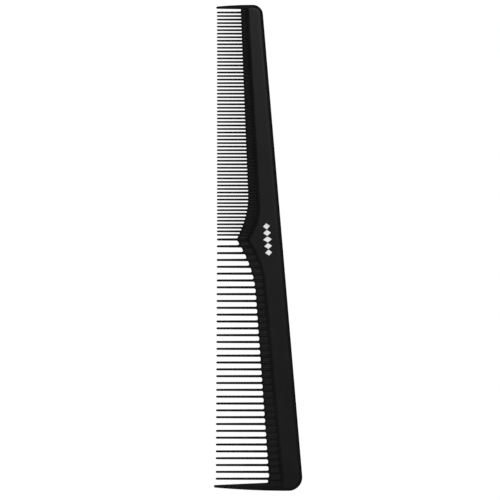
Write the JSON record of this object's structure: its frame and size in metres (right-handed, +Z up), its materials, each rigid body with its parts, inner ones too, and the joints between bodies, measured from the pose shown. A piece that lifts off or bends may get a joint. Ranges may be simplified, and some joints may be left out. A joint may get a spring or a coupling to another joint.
{
  "type": "cutting comb",
  "caption": "Tapered barber's cutting comb with a thick rounded spine, a ribbed web, a fine run and a coarse run of teeth, and a stout guard tooth at each end.",
  "frame": {"origin": "middle of the comb's box, on the surface that its flat side rests on", "axes": "+X towards the back edge, -X towards the tooth tips, +Y towards the narrow end with the fine teeth, +Z up, square to the comb's flat faces"},
  "size_m": [0.0328, 0.18, 0.0034],
  "materials": {
    "comb_plastic": "moulded black plastic, satin to semi-gloss, polished on the spine's flat face",
    "mark_ink": "thin white pad-printed ink, matte"
  },
  "bodies": {
    "root": {"spine": "comb_plastic", "fine_root_band": "comb_plastic", "coarse_root_band": "comb_plastic", "fine_teeth": "comb_plastic", "coarse_teeth": "comb_plastic", "narrow_end_tooth": "comb_plastic", "wide_end_tooth": "comb_plastic", "printed_mark": "mark_ink"}
  },
  "joints": []
}
